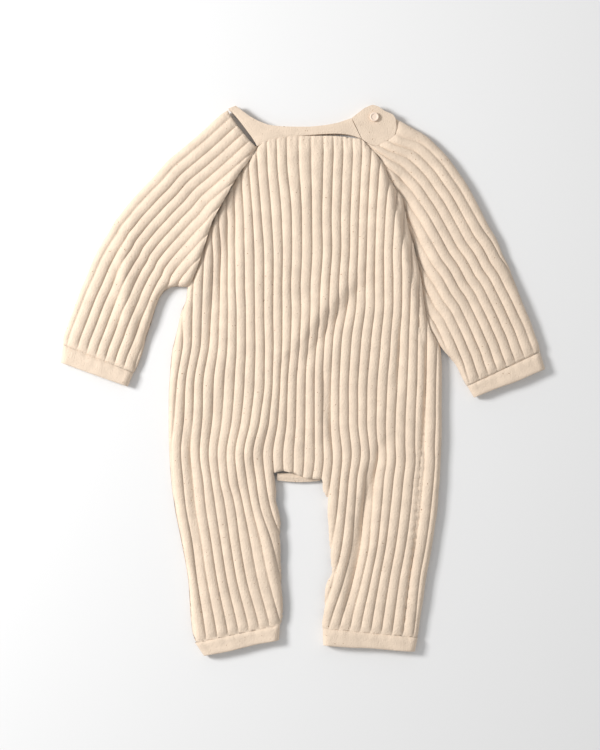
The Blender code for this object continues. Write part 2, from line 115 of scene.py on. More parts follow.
# Plan of every third rib groove of the front, neck first.
RIB_NUMBERS = (-13, -10, -7, -4, -1, 2, 5, 8, 11, 14)
RIB_COLUMNS = ("y",) + RIB_NUMBERS
RIBS = (
    (240.0, -121.0, -95.0, -69.0, -43.0, -13.5, 20.0, 46.0, 72.5, 98.6, 124.6),
    (205.5, -113.5, -90.2, -67.0, -41.9, -14.0, 19.5, 46.5, 71.6, 97.7, 122.8),
    (149.7, -109.7, -85.6, -62.3, -37.2, -9.3, 18.6, 44.6, 68.8, 94.9, 120.0),
    (112.5, -107.9, -82.8, -61.4, -35.3, -9.3, 18.6, 43.7, 67.9, 92.5, 119.0),
    (75.3, -109.7, -83.7, -61.4, -35.3, -10.2, 16.7, 42.8, 67.9, 92.1, 116.2),
    (38.1, -110.7, -86.5, -61.4, -35.3, -10.7, 14.0, 37.2, 64.2, 90.2, 116.2),
    (0.9, -116.2, -91.1, -62.3, -35.3, -13.0, 12.1, 35.3, 61.4, 89.3, 115.3),
    (-36.3, -119.0, -93.0, -65.1, -39.1, -14.0, 12.1, 34.4, 59.5, 86.5, 114.4),
    (-68.8, -120.9, -94.9, -69.8, -45.6, -17.7, 12.1, 37.2, 62.3, 87.4, 114.4),
    (-92.1, -120.0, -92.1, -67.9, -42.8, -16.7, 9.3, 35.3, 58.6, 84.6, 112.5),
    (-110.7, -118.1, -90.2, -63.2, -40.0, -13.0, 5.6, 33.5, 57.7, 82.8, 110.7),
    (-147.9, -111.6, -84.6, -57.7, -28.8, -1.9, 0.9, 28.8, 54.9, 78.1, 106.0),
    (-185.1, -107.0, -79.0, -51.2, -20.5, 8.4, -8.4, 20.5, 47.4, 71.6, 99.5),
    (-222.3, -101.4, -70.7, -40.9, -11.2, 16.7, -20.5, 7.4, 36.3, 65.1, 94.9),
    (-262.0, -95.8, -64.2, -33.5, -2.8, 26.0, -29.8, -1.9, 27.9, 59.5, 89.3),
)
LEG_PARTING = 0.5       # rib number between the legs

PATH_COLUMNS = ("x", "y")
NECK_SEAM = (
    (-60.0, 205.0),
    (-46.0, 213.0),
    (-41.5, 219.0),
    (-37.2, 224.6),
    (-31.6, 226.0),
    (-23.2, 226.9),
    (-1.9, 227.4),
    (26.0, 227.4),
    (38.1, 226.5),
    (46.5, 225.5),
    (54.9, 224.1),
    (63.2, 218.6),
    (80.0, 212.0),
)
CROTCH_HEM = (
    (-28.8, -85.6),
    (-18.6, -82.8),
    (-11.2, -84.2),
    (-4.7, -86.0),
    (0.0, -88.4),
    (7.4, -90.2),
    (20.5, -90.7),
)
LEG_SEAM_COLUMNS = ("outer_x", "outer_y", "inner_x", "inner_y")
LEG_CUFFS = {
    "right": ((-99.5, -243.0, -20.5, -226.5), (-91.1, -255.8, -21.2, -240.4)),
    "left": ((107.5, -238.1, 19.2, -229.5), (105.1, -251.1, 19.8, -245.0)),
}

# Sleeves: head rows start on the raglan seam at seam_y, arm rows on the underarm seam.
HEAD_COLUMNS = ("seam_y", "fold_x", "fold_y")
RIGHT_HEAD = (
    (216.7, -68.8, 251.6),
    (205.5, -79.0, 242.7),
    (194.4, -88.4, 233.9),
    (180.4, -100.0, 223.7),
    (168.3, -111.6, 213.9),
    (155.3, -124.6, 202.7),
    (142.3, -136.7, 188.8),
    (131.1, -145.1, 180.4),
    (114.4, -153.5, 171.1),
    (100.4, -160.0, 163.7),
    (88.0, -165.5, 156.2),
)
LEFT_HEAD = (
    (225.1, 86.5, 243.7),
    (216.7, 94.9, 238.5),
    (205.5, 105.1, 232.5),
    (194.4, 114.4, 226.9),
    (180.4, 124.6, 217.6),
    (168.3, 134.8, 206.5),
    (155.3, 144.2, 193.4),
    (142.3, 152.5, 181.4),
    (131.1, 158.1, 171.1),
    (114.4, 165.5, 156.2),
    (100.4, 172.1, 142.3),
    (85.6, 177.6, 133.0),
    (75.3, 181.4, 124.6),
    (64.2, 184.1, 117.2),
    (50.0, 189.7, 107.1),
    (40.0, 194.2, 96.1),
)
ARM_COLUMNS = ("seam_x", "seam_y", "fold_x", "fold_y")
RIGHT_ARM = (
    (-112.5, 88.4, -172.1, 147.9),
    (-119.0, 88.4, -176.7, 139.5),
    (-125.6, 85.6, -182.7, 130.2),
    (-130.2, 81.8, -187.9, 120.9),
    (-133.9, 75.3, -192.0, 112.5),
    (-137.6, 65.1, -197.2, 99.5),
    (-141.4, 52.1, -203.7, 84.6),
    (-145.1, 41.9, -208.3, 72.5),
    (-147.9, 30.7, -213.0, 59.5),
    (-152.5, 16.7, -218.6, 44.6),
    (-156.7, 7.4, -221.8, 33.5),
)
RIGHT_HEM = (-161.8, -4.7, -224.6, 16.7)
LEFT_ARM = (
    (132.1, 28.8, 201.8, 78.1),
    (138.6, 21.4, 206.5, 66.0),
    (144.2, 14.4, 211.1, 54.9),
    (148.8, 4.7, 215.8, 40.9),
    (153.5, -4.7, 221.3, 27.0),
)
LEFT_HEM = (160.0, -15.8, 226.0, 11.2)
# Bow of the first sleeve rows, where the neckband's curve meets the sleeve head.
BOW = {"right": (-2.0, 12.0), "left": (-14.0, 30.0)}
# How far the ribs creep round the folded edge between shoulder and cuff, in ribs.
RIB_CREEP = {"right": 0.3, "left": 1.1}

# Soft folds of the front layer. Each runs from 0 through 1 to 2, from the neck side
# down; its two flanks have their own widths; height is above or below the layer.
FOLD_COLUMNS = (
    "x0", "y0", "x1", "y1", "x2", "y2", "right_flank", "left_flank", "height",
)
BODY_FOLDS = (
    (46.5, 93.9, 21.4, 70.7, -9.3, 30.7, 13.0, 4.7, 3.0),
    (55.8, 88.4, 33.5, 62.3, 0.0, 15.8, 4.7, 8.4, -2.5),
    (22.3, 5.6, 22.3, -22.3, 26.0, -59.5, 3.7, 6.5, -2.5),
    (90.2, 52.1, 89.3, 27.0, 87.4, -3.7, 3.7, 5.6, -1.8),
    (-53.0, 188.8, -74.4, 135.8, -89.3, 28.8, 7.4, 12.1, -3.5),
    (-35.3, -28.8, -48.4, -54.9, -61.4, -84.6, 13.0, 11.2, 3.0),
    (-74.4, -10.2, -83.7, -40.9, -89.3, -68.8, 7.4, 9.3, -1.5),
    (72.5, -62.3, 55.8, -115.3, 41.9, -213.0, 5.6, 7.4, -5.0),
    (114.4, 33.5, 115.3, -36.3, 93.9, -240.9, 2.8, 3.7, -3.0),
    (-107.9, -22.3, -105.1, -92.1, -92.1, -213.0, 3.7, 4.7, -2.0),
    (-40.9, -110.7, -31.6, -138.6, -26.0, -180.4, 7.4, 4.7, 2.0),
    (67.9, 210.2, 89.3, 154.4, 106.0, 61.4, 24.2, 3.7, 5.0),
    (-1.9, 205.5, -1.9, 168.3, -1.9, 131.1, 18.6, 18.6, 0.8),
)
SLEEVE_FOLDS = {
    "right": (
        (-52.0, 202.0, -74.0, 160.0, -103.0, 92.0, 15.0, 4.0, 5.0),
        (-162.0, 128.0, -166.0, 92.0, -163.0, 52.0, 7.0, 9.0, 3.5),
        (-150.0, 60.0, -152.0, 35.0, -158.0, 12.0, 5.0, 6.0, -2.0),
    ),
    "left": (
        (92.0, 184.0, 104.0, 130.0, 124.0, 44.0, 6.0, 10.0, -5.0),
        (110.0, 190.0, 138.0, 130.0, 160.0, 60.0, 8.0, 12.0, -1.0),
    ),
}

CREAM = (0.780, 0.635, 0.500)
FLECK = (0.330, 0.180, 0.090)


class RomperKnit(bpy.types.PropertyGroup):
    """Sizes of the knit."""

    rib_depth: bpy.props.FloatProperty(
        name="Rib depth",
        description="Height of a rib above its grooves",
        default=0.0023,
        min=0.0,
        max=0.004,
        subtype="DISTANCE",
        unit="LENGTH",
    )
    rib_pitch: bpy.props.FloatProperty(
        name="Rib pitch",
        description="Distance between two rib grooves on the sleeves and the back",
        default=0.0093,
        min=0.004,
        max=0.02,
        subtype="DISTANCE",
        unit="LENGTH",
    )
    layer_height: bpy.props.FloatProperty(
        name="Layer height",
        description="Height of the front layer's grooves above the floor",
        default=0.0078,
        min=0.004,
        max=0.012,
        subtype="DISTANCE",
        unit="LENGTH",
    )
    samples: bpy.props.IntProperty(
        name="Points per rib",
        description="Points across each rib of the front and the sleeves",
        default=9,
        min=4,
        max=14,
    )
    row_step: bpy.props.FloatProperty(
        name="Row step",
        description="Distance between rows of points along a rib",
        default=0.0024,
        min=0.001,
        max=0.01,
        subtype="DISTANCE",
        unit="LENGTH",
    )


class RomperColours(bpy.types.PropertyGroup):
    """Colours of the yarn and the button."""

    yarn: bpy.props.FloatVectorProperty(
        name="Yarn",
        description="Main colour of the yarn",
        default=CREAM,
        size=3,
        min=0.0,
        max=1.0,
        subtype="COLOR",
    )
    fleck: bpy.props.FloatVectorProperty(
        name="Fleck",
        description="Colour of the small darker flecks spun into the yarn",
        default=FLECK,
        size=3,
        min=0.0,
        max=1.0,
        subtype="COLOR",
    )
    button: bpy.props.FloatVectorProperty(
        name="Button",
        description="Colour of the neck button",
        default=(0.86, 0.70, 0.58),
        size=3,
        min=0.0,
        max=1.0,
        subtype="COLOR",
    )


class RomperStage(bpy.types.PropertyGroup):
    """Floor, lights and camera."""

    camera_height: bpy.props.FloatProperty(
        name="Camera height",
        description="Height of the camera above the floor",
        default=1.65,
        min=0.5,
        max=5.0,
        subtype="DISTANCE",
        unit="LENGTH",
    )
    key_power: bpy.props.FloatProperty(
        name="Key light",
        description="Power of the window-like light at the side",
        default=38.0,
        min=0.0,
        max=500.0,
    )
    sky: bpy.props.FloatProperty(
        name="Sky light",
        description="Strength of the even light from all round",
        default=0.52,
        min=0.0,
        max=4.0,
    )


# ---------------------------------------------------------------- plan and heights


def columns_of(table, names):
    """Columns of a table as arrays keyed by name."""
    values = np.array(table, float)
    return {name: values[:, i] for i, name in enumerate(names)}


def smooth(x, xs, ys):
    """Smooth curve through table points that keeps their rises and falls."""
    xs, ys = np.asarray(xs, float), np.asarray(ys, float)
    if xs[0] > xs[-1]:
        xs, ys = xs[::-1], ys[::-1]
    h = np.diff(xs)
    d = np.diff(ys) / h
    m = np.zeros_like(ys)
    m[0], m[-1] = d[0], d[-1]
    same = d[:-1] * d[1:] > 0
    w1, w2 = 2 * h[1:] + h[:-1], h[1:] + 2 * h[:-1]
    with np.errstate(divide="ignore", invalid="ignore"):
        inner = (w1 + w2) / (w1 / d[:-1] + w2 / d[1:])
    m[1:-1] = np.where(same, inner, 0.0)
    x = np.clip(np.asarray(x, float), xs[0], xs[-1])
    i = np.clip(np.searchsorted(xs, x, side="right") - 1, 0, len(h) - 1)
    t = (x - xs[i]) / h[i]
    a, b, c = ys[i], m[i] * h[i], m[i + 1] * h[i]
    e = ys[i + 1]
    return (
        (2 * t**3 - 3 * t**2 + 1) * a
        + (t**3 - 2 * t**2 + t) * b
        + (-2 * t**3 + 3 * t**2) * e
        + (t**3 - t**2) * c
    )


def soft_noise(x, y, size, seed):
    """Smooth repeatable noise from -1 to 1, with humps of about the given size."""
    gx, gy = np.asarray(x) / size, np.asarray(y) / size
    ix, iy = np.floor(gx), np.floor(gy)
    fx, fy = gx - ix, gy - iy
    fx, fy = fx * fx * (3 - 2 * fx), fy * fy * (3 - 2 * fy)

    def corner(i, j):
        value = np.sin(i * 127.1 + j * 311.7 + seed * 74.7) * 43758.5453
        return value - np.floor(value)

    low = corner(ix, iy) * (1 - fx) + corner(ix + 1, iy) * fx
    high = corner(ix, iy + 1) * (1 - fx) + corner(ix + 1, iy + 1) * fx
    return 2 * (low * (1 - fy) + high * fy) - 1


def eased(value):
    """Smooth step from 0 to 1."""
    value = np.clip(value, 0.0, 1.0)
    return value * value * (3 - 2 * value)


def rounded(distance, width):
    """Quarter-round profile: 0 at the edge, 1 at the given width."""
    share = np.clip(distance / width, 0.0, 1.0)
    return np.sqrt(np.maximum(0.0, 1 - (1 - share) ** 2))


class Relief:
    """Heights of soft folds over the garment's plan, kept on a fine grid."""

    STEP = 1.5
    LOW = (-240.0, -275.0)
    COUNT = (320, 367)

    def __init__(self, folds, swell, seed):
        xs = self.LOW[0] + self.STEP * np.arange(self.COUNT[0])
        ys = self.LOW[1] + self.STEP * np.arange(self.COUNT[1])
        self.x, self.y = np.meshgrid(xs, ys)
        self.z = swell * soft_noise(self.x, self.y, 62.0, seed)
        self.z += 0.45 * swell * soft_noise(self.x, self.y, 27.0, seed + 3)
        for row in folds:
            self.add(dict(zip(FOLD_COLUMNS, row)))

    def add(self, fold):
        """Lay one fold over the grid."""
        reach = 3.0 * max(fold["right_flank"], fold["left_flank"])
        ends = [(fold["x%d" % i], fold["y%d" % i]) for i in range(3)]
        low = [min(p[k] for p in ends) - reach for k in range(2)]
        high = [max(p[k] for p in ends) + reach for k in range(2)]
        window = (
            (self.x >= low[0]) & (self.x <= high[0]) & (self.y >= low[1]) & (self.y <= high[1])
        )
        px, py = self.x[window], self.y[window]
        best = np.full(px.shape, 1e9)
        side = np.zeros(px.shape)
        along = np.zeros(px.shape)
        for t in np.linspace(0.0, 1.0, 41):
            a, b, c = (1 - t) ** 2, 2 * t * (1 - t), t * t
            cx = a * ends[0][0] + b * ends[1][0] + c * ends[2][0]
            cy = a * ends[0][1] + b * ends[1][1] + c * ends[2][1]
            dx = 2 * (1 - t) * (ends[1][0] - ends[0][0]) + 2 * t * (ends[2][0] - ends[1][0])
            dy = 2 * (1 - t) * (ends[1][1] - ends[0][1]) + 2 * t * (ends[2][1] - ends[1][1])
            away = (px - cx) ** 2 + (py - cy) ** 2
            near = away < best
            best = np.where(near, away, best)
            side = np.where(near, (px - cx) * -dy + (py - cy) * dx, side)
            along = np.where(near, t, along)
        flank = np.where(side > 0, fold["left_flank"], fold["right_flank"])
        taper = np.sqrt(np.sin(math.pi * (0.06 + 0.88 * along)))
        self.z[window] += fold["height"] * taper * np.exp(-best / flank**2)

    def at(self, x, y):
        """Height at any place of the plan."""
        gx = np.clip((np.asarray(x) - self.LOW[0]) / self.STEP, 0, self.COUNT[0] - 1.001)
        gy = np.clip((np.asarray(y) - self.LOW[1]) / self.STEP, 0, self.COUNT[1] - 1.001)
        i, j = gx.astype(int), gy.astype(int)
        u, v = gx - i, gy - j
        z = self.z
        low = z[j, i] * (1 - u) + z[j, i + 1] * u
        high = z[j + 1, i] * (1 - u) + z[j + 1, i + 1] * u
        return low * (1 - v) + high * v


class Plan:
    """Outline and rib lines of the body and legs."""

    def __init__(self):
        self.body = columns_of(BODY_EDGES, BODY_EDGE_COLUMNS)
        self.legs = columns_of(LEG_EDGES, LEG_EDGE_COLUMNS)
        self.ribs = columns_of(RIBS, RIB_COLUMNS)
        self.neck = columns_of(NECK_SEAM, PATH_COLUMNS)
        self.crotch = columns_of(CROTCH_HEM, PATH_COLUMNS)

    def outer(self, side, y):
        """Outer edge of the body and leg on one side."""
        upper = smooth(y, self.body["y"], self.body[side + "_x"])
        lower = smooth(y, self.legs["y"], self.legs[side + "_outer"])
        return np.where(np.asarray(y) > -82.8, upper, lower)

    def inner(self, side, y):
        """Inner edge of one leg."""
        return smooth(y, self.legs["y"], self.legs[side + "_inner"])

    def rib_x(self, number, y):
        """Plan X of a rib groove, whole or part numbers, at a height Y."""
        marks = np.stack([smooth(y, self.ribs["y"], self.ribs[n]) for n in RIB_NUMBERS], -1)
        numbers = np.array(RIB_NUMBERS, float)
        place = np.clip((number - numbers[0]) / 3.0, -0.6, len(numbers) - 0.4)
        i = np.clip(np.floor(place).astype(int), 0, len(numbers) - 2)
        share = place - i
        low = np.take_along_axis(marks, i[..., None], -1)[..., 0]
        high = np.take_along_axis(marks, i[..., None] + 1, -1)[..., 0]
        return low + (high - low) * share

    def hem_y(self, side, x):
        """Seam of a leg cuff as a function of X."""
        row = dict(zip(LEG_SEAM_COLUMNS, LEG_CUFFS[side][0]))
        share = (x - row["outer_x"]) / (row["inner_x"] - row["outer_x"])
        return row["outer_y"] + share * (row["inner_y"] - row["outer_y"])


def rib_wave(number, depth, sharp=0.5):
    """Height of the knit across its ribs; grooves are at whole numbers."""
    share = number - np.floor(number)
    return depth * np.sin(math.pi * share) ** sharp


def rib_places(first, last, count):
    """Rib numbers from first to last, closer together near each groove."""
    share = np.linspace(0.0, 1.0, count, endpoint=False)
    share = share - 0.055 * np.sin(2 * math.pi * share)
    whole = np.arange(math.floor(first), math.ceil(last))
    places = (whole[:, None] + share[None, :]).ravel()
    return places[(places >= first) & (places <= last)]


# ---------------------------------------------------------------- mesh helpers


def mesh_object(name, points, faces, uvs=None, material=None):
    """Object from plan points in millimetres, with a knit UV map, doubles merged."""
    points = np.asarray(points, float)
    placed = (points - np.array([CENTRE[0], CENTRE[1], 0.0])) * MM
    mesh = bpy.data.meshes.new(name)
    mesh.from_pydata(placed.tolist(), [], [tuple(map(int, f)) for f in faces])
    mesh.update()
    if uvs is not None:
        layer = mesh.uv_layers.new(name="knit")
        index = np.empty(len(mesh.loops), np.int32)
        mesh.loops.foreach_get("vertex_index", index)
        layer.data.foreach_set("uv", np.asarray(uvs, np.float32)[index].ravel())
    build = bmesh.new()
    build.from_mesh(mesh)
    bmesh.ops.remove_doubles(build, verts=build.verts, dist=0.00003)
    bmesh.ops.dissolve_degenerate(build, edges=build.edges, dist=0.00001)
    loose = [vert for vert in build.verts if not vert.link_faces]
    bmesh.ops.delete(build, geom=loose, context="VERTS")
    build.to_mesh(mesh)
    build.free()
    mesh.polygons.foreach_set("use_smooth", [True] * len(mesh.polygons))
    if material:
        mesh.materials.append(material)
    item = bpy.data.objects.new(name, mesh)
    bpy.context.scene.collection.objects.link(item)
    return item


def add_lip(item, depth, lowest=0.0006, above=0.0):
    """Turn the cloth down along its open edges, so a cut edge shows its thickness."""
    build = bmesh.new()
    build.from_mesh(item.data)
    edges = [
        edge
        for edge in build.edges
        if edge.is_boundary and min(v.co.z for v in edge.verts) > above
    ]
    if edges:
        made = bmesh.ops.extrude_edge_only(build, edges=edges)
        for vert in made["geom"]:
            if isinstance(vert, bmesh.types.BMVert):
                vert.co.z = max(lowest, vert.co.z - depth)
    build.to_mesh(item.data)
    build.free()
    item.data.polygons.foreach_set("use_smooth", [True] * len(item.data.polygons))


def grid_faces(rows, columns, keep=None, closed=False, flip=False):
    """Quads of a grid of points, leaving out those with a vertex not kept."""
    index = np.arange(rows * columns).reshape(rows, columns)
    if closed:
        index = np.concatenate([index, index[:, :1]], 1)
    quads = np.stack([index[:-1, :-1], index[1:, :-1], index[1:, 1:], index[:-1, 1:]], -1)
    quads = quads.reshape(-1, 4)
    if keep is not None:
        quads = quads[np.all(keep.ravel()[quads], axis=1)]
    return quads[:, ::-1] if flip else quads


def finish_piece(item, nodes):
    """Tie a finished piece to the frame and hide the frame's solids it stands for."""
    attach(item, "root")
    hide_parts(*nodes)


# ---------------------------------------------------------------- body panels


def panel_points(plan, per_rib, step):
    """Plan points, rib numbers and faces of a body panel with its legs."""
    numbers = rib_places(-15.0, 16.0, per_rib)
    ys = np.arange(231.0, -250.0, -step)
    number, y = np.meshgrid(numbers, ys)
    x = plan.rib_x(number, y)
    wander = eased((y + 80.0) / 20.0) * 0.5 + 0.3
    x = x + wander * soft_noise(number * 9.0, y, 31.0, 5)
    keep = np.ones(x.shape, bool)

    right, left = plan.outer("right", y), plan.outer("left", y)
    x = np.clip(x, right, left)

    top = smooth(x, plan.neck["x"], plan.neck["y"])
    above = y > top
    keep &= y <= top + 2.2 * step
    y = np.where(above, top, y)

    crotch = smooth(x, plan.crotch["x"], plan.crotch["y"])
    inner_right, inner_left = plan.inner("right", y), plan.inner("left", y)
    below = y < crotch
    gap = below & (x > inner_right) & (x < inner_left)
    into = np.minimum(x - inner_right, inner_left - x)
    under = crotch - y
    to_side = gap & (into <= 1.25)
    to_hem = gap & ~to_side & (under <= step)
    keep &= ~(gap & ~to_side & ~to_hem)
    x = np.where(to_side & (number < LEG_PARTING), np.minimum(x, inner_right), x)
    x = np.where(to_side & (number >= LEG_PARTING), np.maximum(x, inner_left), x)
    y = np.where(to_hem, crotch, y)
    leg_zone = below & ~to_hem
    x = np.where(leg_zone & (number < LEG_PARTING), np.minimum(x, inner_right), x)
    x = np.where(leg_zone & (number >= LEG_PARTING), np.maximum(x, inner_left), x)

    for side, mine in (("right", number < LEG_PARTING), ("left", number >= LEG_PARTING)):
        hem = plan.hem_y(side, x)
        low = mine & (y < hem)
        keep &= ~(low & (y < hem - 2.2 * step))
        y = np.where(low, hem, y)
    faces = grid_faces(*x.shape, keep=keep)
    across = np.abs(number.ravel()[faces] < LEG_PARTING).sum(1)
    split = (across > 0) & (across < 4) & (y.ravel()[faces].max(1) < -92.0)
    return x, y, number, faces[~split]


def edge_distances(plan, x, y):
    """Distance to the nearest side edge, and how much that edge is rounded."""
    right = x - plan.outer("right", y)
    left = plan.outer("left", y) - x
    soft_right = eased((UNDERARM_Y["right"] + 4.0 - y) / 14.0)
    soft_left = eased((UNDERARM_Y["left"] + 4.0 - y) / 14.0)
    crotch = smooth(x, plan.crotch["x"], plan.crotch["y"])
    leg = eased((crotch + 1.0 - y) / 7.0)
    inner = np.where(
        x < (plan.inner("right", y) + plan.inner("left", y)) / 2,
        plan.inner("right", y) - x,
        x - plan.inner("left", y),
    )
    return (right, soft_right), (left, soft_left), (inner, leg)


def panel_height(plan, relief, x, y, high, upper):
    """Height of the grooves of the front or back layer."""
    drop = np.zeros(np.shape(x))
    for distance, weight in edge_distances(plan, x, y):
        drop = np.maximum(drop, weight * (1 - rounded(distance, ROLL)))
    right = x - plan.outer("right", y)
    left = plan.outer("left", y) - x
    if upper:
        crest = high + relief.at(x, y) * (1 - drop)
        seam = np.exp(-((np.minimum(right, left) / 2.2) ** 2)) * eased((y - 36.0) / 20.0)
        crest = np.maximum(crest, 3.4) - 1.0 * seam
        return crest + (SEAM_Z - crest) * drop
    return UNDER_LEVEL + (SEAM_Z - UNDER_LEVEL) * drop


def surface_normals(height, x, y, upper):
    """Unit normals of a height field, facing up or down."""
    reach = 0.45
    dx = (height(x + reach, y) - height(x - reach, y)) / (2 * reach)
    dy = (height(x, y + reach) - height(x, y - reach)) / (2 * reach)
    dx, dy = np.clip(dx, -5, 5), np.clip(dy, -5, 5)
    normal = np.stack([-dx, -dy, np.ones_like(dx)], -1)
    normal /= np.linalg.norm(normal, axis=-1, keepdims=True)
    return normal if upper else -normal


def edge_fade(plan, x, y):
    """Ribs are flatter where they run into a seam."""
    right = x - plan.outer("right", y)
    left = plan.outer("left", y) - x
    top = smooth(x, plan.neck["x"], plan.neck["y"]) - y
    nearest = np.minimum(np.minimum(right, left), top)
    fade = 0.35 + 0.65 * eased(nearest / 4.0)
    for side in ("right", "left"):
        mine = x < 0 if side == "right" else x >= 0
        gap = np.where(mine, y - plan.hem_y(side, x), 99.0)
        fade = np.minimum(fade, 0.15 + 0.85 * eased(gap / 6.0))
    return fade


class RomperFront(bpy.types.Operator):
    """Build the front: body and both legs in one piece"""

    bl_idname = "romper.front"
    bl_label = "Front"

    def execute(self, context):
        knit = context.scene.romper_knit
        plan = Plan()
        relief = Relief(BODY_FOLDS, 0.5, 2)
        step = knit.row_step / MM
        depth = knit.rib_depth / MM
        high = knit.layer_height / MM
        x, y, number, faces = panel_points(plan, knit.samples, step)

        def height(px, py):
            return panel_height(plan, relief, px, py, high, True)

        base = np.stack([x, y, height(x, y)], -1)
        normal = surface_normals(height, x, y, True)
        uneven = 1.0 + 0.16 * soft_noise(number * 9.3, y, 24.0, 11)
        wave = rib_wave(number, depth) * uneven * edge_fade(plan, x, y)
        fine = eased((y - 213.0) / 5.0) * (0.5 - 0.5 * np.cos(4 * math.pi * number))
        wave = wave * (1 - 0.5 * eased((y - 213.0) / 5.0)) + 0.45 * fine
        points = base + normal * wave[..., None]
        points[..., 2] = np.maximum(points[..., 2], TOP_LOWEST)
        uvs = np.stack([number, y / (knit.rib_pitch / MM)], -1).reshape(-1, 2)
        item = mesh_object(
            "romper_front", points.reshape(-1, 3), faces, uvs, rib_material(context)
        )
        add_lip(item, HEM_LIP, above=LIP_ABOVE)
        finish_piece(item, ["front_panel"])
        return {"FINISHED"}


class RomperBack(bpy.types.Operator):
    """Build the back, which lies on the floor with its ribs down"""

    bl_idname = "romper.back"
    bl_label = "Back"

    def execute(self, context):
        knit = context.scene.romper_knit
        plan = Plan()
        relief = Relief((), 0.0, 1)
        x, y, number, faces = panel_points(plan, 6, 4.0)

        def height(px, py):
            return panel_height(plan, relief, px, py, UNDER_LEVEL, False)

        base = np.stack([x, y, height(x, y)], -1)
        normal = surface_normals(height, x, y, False)
        wave = rib_wave(number, UNDER_RIB) * edge_fade(plan, x, y)
        points = base + normal * wave[..., None]
        points[..., 2] = np.maximum(points[..., 2], LOWEST)
        uvs = np.stack([number, y / (knit.rib_pitch / MM)], -1).reshape(-1, 2)
        item = mesh_object(
            "romper_back", points.reshape(-1, 3), faces[:, ::-1], uvs, rib_material(context)
        )
        finish_piece(item, ["back_panel"])
        return {"FINISHED"}


# ---------------------------------------------------------------- sleeves and cuffs


class Sleeve:
    """A flattened tube between its raglan or underarm seam and its folded edge."""

    EDGE = 8.0

    def __init__(self, side, high):
        self.side = side
        self.high = high
        plan = Plan()
        head = RIGHT_HEAD if side == "right" else LEFT_HEAD
        arm = RIGHT_ARM if side == "right" else LEFT_ARM
        rows = [(float(plan.outer(side, r[0])), r[0], r[1], r[2]) for r in head]
        self.head_count = len(rows)
        rows += [tuple(r) for r in arm]
        table = np.array(rows)
        middle = (table[:, :2] + table[:, 2:]) / 2
        run = np.concatenate([[0.0], np.cumsum(np.linalg.norm(np.diff(middle, axis=0), axis=1))])
        self.run = run
        self.table = table
        self.length = run[-1]
        self.underarm = run[self.head_count - 1]
        self.relief = Relief(SLEEVE_FOLDS[side], 0.45, 8 if side == "right" else 21)
        self.quarter = self.EDGE * 1.24

    def row(self, t):
        """Seam and fold points at a distance t down the sleeve."""
        values = [smooth(t, self.run, self.table[:, i]) for i in range(4)]
        return np.stack(values[:2], -1), np.stack(values[2:], -1)

    def plan_at(self, t, s):
        """Plan position, distance from the seam end and turn round the folded edge."""
        seam, fold = self.row(t)
        across = seam - fold
        width = np.linalg.norm(across, axis=-1)
        across = across / width[..., None]
        reach = np.abs(s)
        turn = np.clip(reach / self.quarter, 0.0, 1.0) * math.pi / 2
        inset = np.where(
            reach < self.quarter,
            self.EDGE * (1 - np.cos(turn)),
            self.EDGE + reach - self.quarter,
        )
        inset = np.minimum(inset, width)
        bow, fade = BOW[self.side]
        share = inset / width
        lift = bow * (1 - (2 * share - 1) ** 4) * np.exp(-((t / fade) ** 2))
        square = np.stack([-across[..., 1], across[..., 0]], -1)
        if self.side == "left":
            square = -square
        place = fold + across * inset[..., None] + square * lift[..., None]
        return place, width - inset, turn

    def base(self, t, s):
        """Position of the grooves at t down the sleeve and s round its folded edge."""
        place, left_over, turn = self.plan_at(t, s)
        arm = eased((t - self.underarm + 8.0) / 16.0)
        drop = arm * (1 - rounded(left_over, 6.0))
        x, y = place[..., 0], place[..., 1]
        crest = self.high + self.relief.at(x, y)
        seam = np.exp(-((left_over / 2.2) ** 2)) * (1 - arm)
        crest = np.maximum(crest, 3.4) - seam
        top = SEAM_Z + (crest - SEAM_Z) * np.sin(turn) * (1 - drop)
        bottom = SEAM_Z - (SEAM_Z - UNDER_LEVEL) * np.sin(turn) * (1 - drop)
        z = np.where(s >= 0, top, bottom)
        return np.concatenate([place, z[..., None]], -1), left_over

    def widest(self, t):
        """Largest s on a row: where it meets its seam."""
        seam, fold = self.row(t)
        return np.linalg.norm(seam - fold, axis=-1) - self.EDGE + self.quarter


